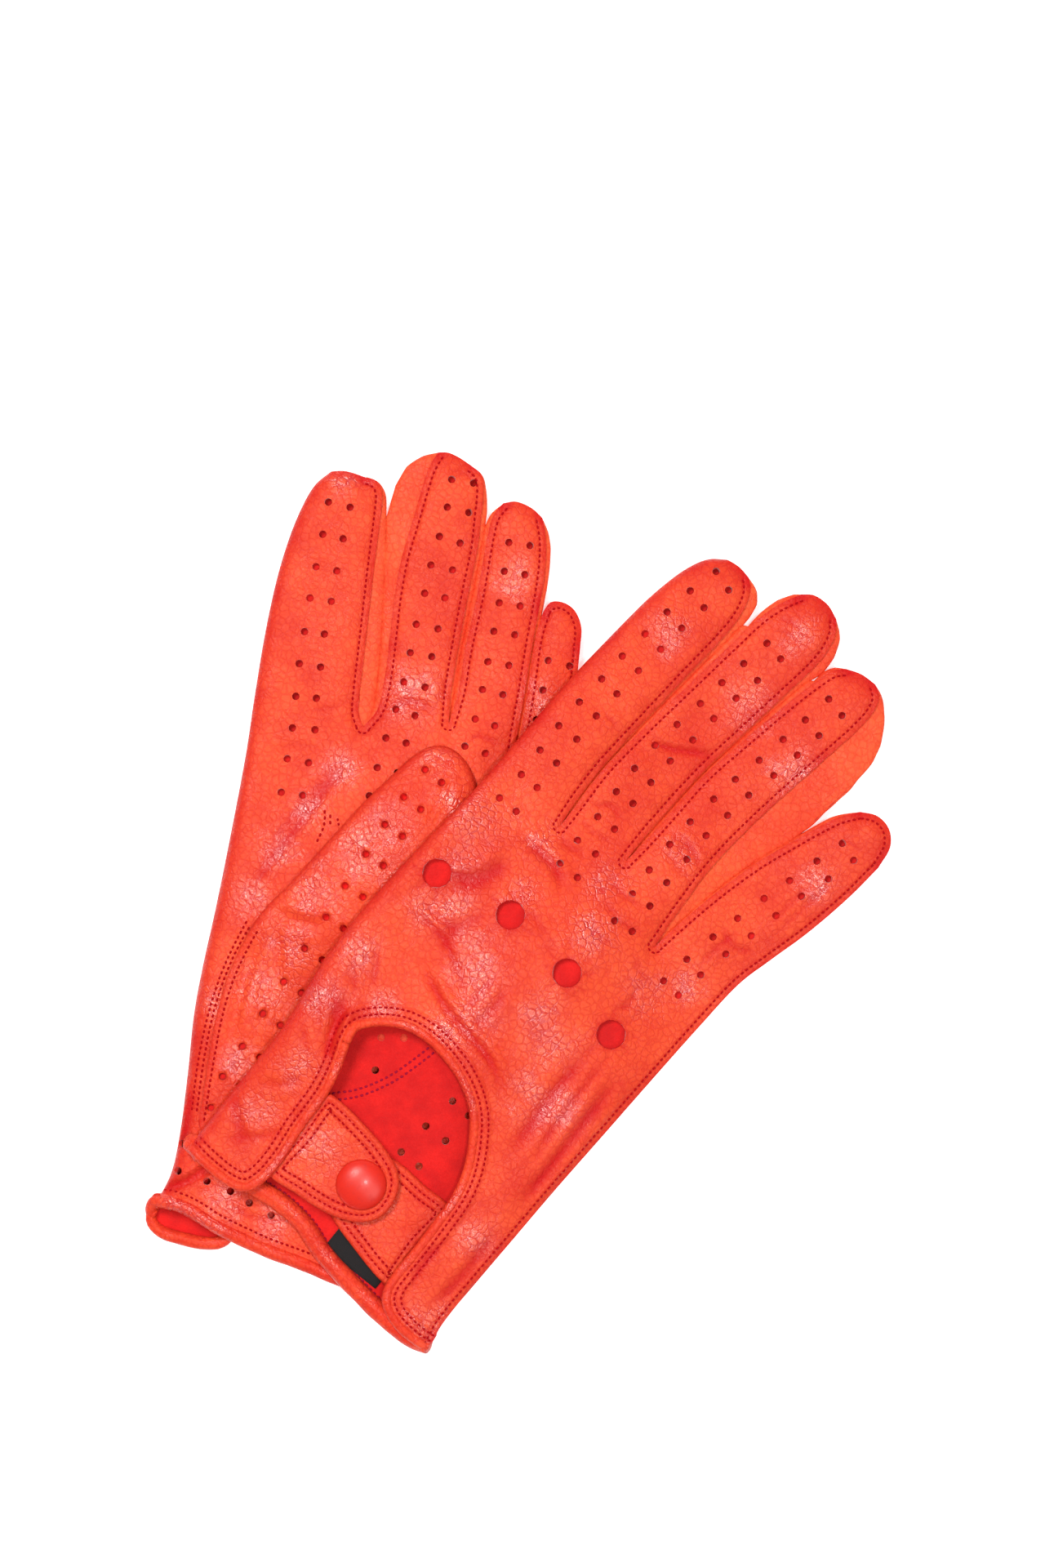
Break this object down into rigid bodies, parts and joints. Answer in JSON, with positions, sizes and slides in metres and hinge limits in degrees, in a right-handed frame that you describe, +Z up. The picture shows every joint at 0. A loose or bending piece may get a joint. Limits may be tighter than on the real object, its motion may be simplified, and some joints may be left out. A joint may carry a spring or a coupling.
{
  "type": "pair of driving gloves",
  "caption": "Pair of unlined red leather driving gloves with punched fingers, knuckle holes, an open back with a bound edge, and a snap strap at the wrist, lying crossed.",
  "frame": {"origin": "centre of the pair's bounding box, on the table under it", "axes": "+Z up from the table; +Y towards the fingertips of the left glove, along the pair's longest side; +X towards the little finger of the right glove"},
  "size_m": [0.1894, 0.231, 0.0289],
  "materials": {
    "leather": "glazed sheepskin, soft gloss, fine wrinkled grain",
    "fourchette": "thin glazed skin, a little more orange and smoother than the faces",
    "binding": "thin skin turned over the raw edge and stitched",
    "elastic": "narrow woven elastic",
    "label": "black woven ribbon",
    "snap_cap": "enamelled to match the leather",
    "snap_metal": "plated, lightly brushed"
  },
  "bodies": {
    "left_hand": {"left_back_panel": "leather", "left_palm_panel": "leather", "left_window_binding": "binding", "left_wrist_hem_back": "binding", "left_wrist_hem_palm": "binding", "left_wrist_elastic": "elastic", "left_label": "label", "left_thumb_gusset": "leather", "left_strap_base": "leather", "left_snap_stud": "snap_metal", "left_snap_eyelet": "snap_metal"},
    "left_strap": {"left_strap_tab": "leather", "left_snap_cap": "snap_cap", "left_snap_socket": "snap_metal"},
    "left_thumb": {"left_thumb_lower": "leather", "left_thumb_upper": "leather"},
    "left_index": {"left_index_back": "leather", "left_index_palm": "leather", "left_index_fourchettes": "fourchette"},
    "left_middle": {"left_middle_back": "leather", "left_middle_palm": "leather", "left_middle_fourchettes": "fourchette"},
    "left_ring": {"left_ring_back": "leather", "left_ring_palm": "leather", "left_ring_fourchettes": "fourchette"},
    "left_little": {"left_little_back": "leather", "left_little_palm": "leather", "left_little_fourchettes": "fourchette"},
    "right_hand": {"right_back_panel": "leather", "right_palm_panel": "leather", "right_window_binding": "binding", "right_wrist_hem_back": "binding", "right_wrist_hem_palm": "binding", "right_wrist_elastic": "elastic", "right_label": "label", "right_thumb_gusset": "leather", "right_strap_base": "leather", "right_snap_stud": "snap_metal", "right_snap_eyelet": "snap_metal"},
    "right_strap": {"right_strap_tab": "leather", "right_snap_cap": "snap_cap", "right_snap_socket": "snap_metal"},
    "right_thumb": {"right_thumb_lower": "leather", "right_thumb_upper": "leather"},
    "right_index": {"right_index_back": "leather", "right_index_palm": "leather", "right_index_fourchettes": "fourchette"},
    "right_middle": {"right_middle_back": "leather", "right_middle_palm": "leather", "right_middle_fourchettes": "fourchette"},
    "right_ring": {"right_ring_back": "leather", "right_ring_palm": "leather", "right_ring_fourchettes": "fourchette"},
    "right_little": {"right_little_back": "leather", "right_little_palm": "leather", "right_little_fourchettes": "fourchette"}
  },
  "joints": [
    {"name": "right_glove_lift", "type": "slide", "parent": "left_hand", "child": "right_hand", "axis": [0, 0, 1], "range_m": [0, 0.12]},
    {"name": "left_index_flex", "type": "hinge", "parent": "left_hand", "child": "left_index", "pos_m": [-0.05681, 0.0417, 0.0026], "axis": [0.9894, -0.1452, 0], "range_deg": [0, 70]},
    {"name": "left_middle_flex", "type": "hinge", "parent": "left_hand", "child": "left_middle", "pos_m": [-0.02979, 0.04404, 0.0026], "axis": [0.9904, -0.138, 0], "range_deg": [0, 70]},
    {"name": "left_ring_flex", "type": "hinge", "parent": "left_hand", "child": "left_ring", "pos_m": [-0.01187, 0.04088, 0.0026], "axis": [0.9807, -0.1958, 0], "range_deg": [0, 70]},
    {"name": "left_little_splay", "type": "hinge", "parent": "left_hand", "child": "left_little", "pos_m": [0.00158, 0.02734, 0.0026], "axis": [0, 0, 1], "range_deg": [-15, 0]},
    {"name": "left_thumb_swing", "type": "hinge", "parent": "left_hand", "child": "left_thumb", "pos_m": [-0.05601, -0.01998, 0.00885], "axis": [0, 0, 1], "range_deg": [0, 10]},
    {"name": "left_strap_open", "type": "hinge", "parent": "left_hand", "child": "left_strap", "pos_m": [-0.07165, -0.07185, 0.00245], "axis": [0.1736, 0.9848, 0], "range_deg": [0, 85]},
    {"name": "right_index_flex", "type": "hinge", "parent": "right_hand", "child": "right_index", "pos_m": [-0.00074, 0.02674, 0.01342], "axis": [0.7259, -0.6828, -0.0827], "range_deg": [0, 50]},
    {"name": "right_middle_flex", "type": "hinge", "parent": "right_hand", "child": "right_middle", "pos_m": [0.01537, 0.01499, 0.01159], "axis": [0.7054, -0.7043, -0.0804], "range_deg": [0, 50]},
    {"name": "right_ring_flex", "type": "hinge", "parent": "right_hand", "child": "right_ring", "pos_m": [0.02891, 0.00018, 0.01004], "axis": [0.691, -0.7185, -0.0787], "range_deg": [0, 50]},
    {"name": "right_little_flex", "type": "hinge", "parent": "right_hand", "child": "right_little", "pos_m": [0.03879, -0.02192, 0.00892], "axis": [0.592, -0.8031, -0.0674], "range_deg": [0, 50]},
    {"name": "right_thumb_swing", "type": "hinge", "parent": "right_hand", "child": "right_thumb", "pos_m": [-0.01892, -0.0232, 0.01142], "axis": [0.1132, 0, 0.9936], "range_deg": [-25, 0]},
    {"name": "right_strap_open", "type": "hinge", "parent": "right_hand", "child": "right_strap", "pos_m": [-0.0562, -0.06112, 0.02603], "axis": [-0.6226, -0.7793, 0.0709], "range_deg": [0, 120]}
  ]
}
